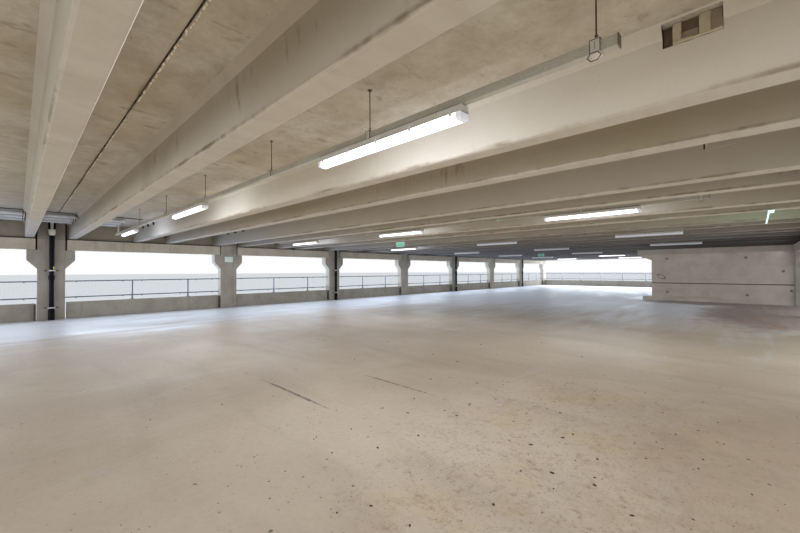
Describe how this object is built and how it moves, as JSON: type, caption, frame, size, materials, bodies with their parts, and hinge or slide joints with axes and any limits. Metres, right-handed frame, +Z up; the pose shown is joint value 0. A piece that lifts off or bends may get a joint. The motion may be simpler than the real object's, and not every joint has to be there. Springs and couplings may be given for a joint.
{
  "type": "covered storey of a multi storey car park",
  "caption": "One covered car park deck: precast corbelled columns, edge beams and double tees over an open floor, with parapets, guard rails and strip lights.",
  "frame": {"origin": "centre of the footprint, at the underside of the floor deck", "axes": "+X from the outer column row to the inner row, +Y along the rows towards the far gable, +Z up"},
  "size_m": [15.8, 38.97, 4.0834],
  "materials": {
    "floor_concrete": "power floated concrete, worn and stained",
    "topping_concrete": "brushed concrete",
    "tee_concrete": "mould cast concrete, mottled",
    "frame_concrete": "precast concrete, matt",
    "wall_concrete": "precast concrete, stained",
    "bearing_rubber": "matt black",
    "galvanised_steel": "dull zinc",
    "trunking_steel": "zinc coated sheet",
    "black_pipe": "semi gloss black",
    "cream_pipe": "dull cream",
    "luminaire_body": "light grey moulding",
    "luminaire_diffuser": "lit white diffuser",
    "sign_green": "plain green, bare",
    "sign_white": "plain white, bare"
  },
  "bodies": {
    "root": {"conduits": "trunking_steel", "cross_wall_kerb": "wall_concrete", "cross_wall_lower": "wall_concrete", "cross_wall_upper": "wall_concrete", "deck_far_gable_rail": "galvanised_steel", "deck_near_gable_rail": "galvanised_steel", "deck_outer_rail": "galvanised_steel", "deck_topping": "topping_concrete", "double_tees_bay_1": "tee_concrete", "double_tees_bay_2": "tee_concrete", "double_tees_bay_3": "tee_concrete", "double_tees_bay_4": "tee_concrete", "double_tees_bay_5": "tee_concrete", "double_tees_bay_6": "tee_concrete", "double_tees_bay_7": "tee_concrete", "double_tees_bay_8": "tee_concrete", "exit_signs": "sign_green", "far_gable_parapet": "frame_concrete", "far_gable_rail": "galvanised_steel", "far_gable_spandrel": "frame_concrete", "floor_deck": "floor_concrete", "hanger_rods": "galvanised_steel", "inner_bearing_strips": "bearing_rubber", "inner_columns": "frame_concrete", "inner_edge_beams": "frame_concrete", "location_plate": "sign_white", "luminaire_bodies": "luminaire_body", "luminaire_diffusers": "luminaire_diffuser", "near_gable_parapet": "frame_concrete", "near_gable_rail": "galvanised_steel", "near_gable_spandrel": "frame_concrete", "outer_bearing_strips": "bearing_rubber", "outer_columns": "frame_concrete", "outer_edge_beams": "frame_concrete", "outer_parapets": "frame_concrete", "outer_rails": "galvanised_steel", "pipe_brackets": "galvanised_steel", "rainwater_hoppers": "cream_pipe", "rainwater_pipes": "black_pipe", "trunking": "trunking_steel"}
  },
  "joints": []
}
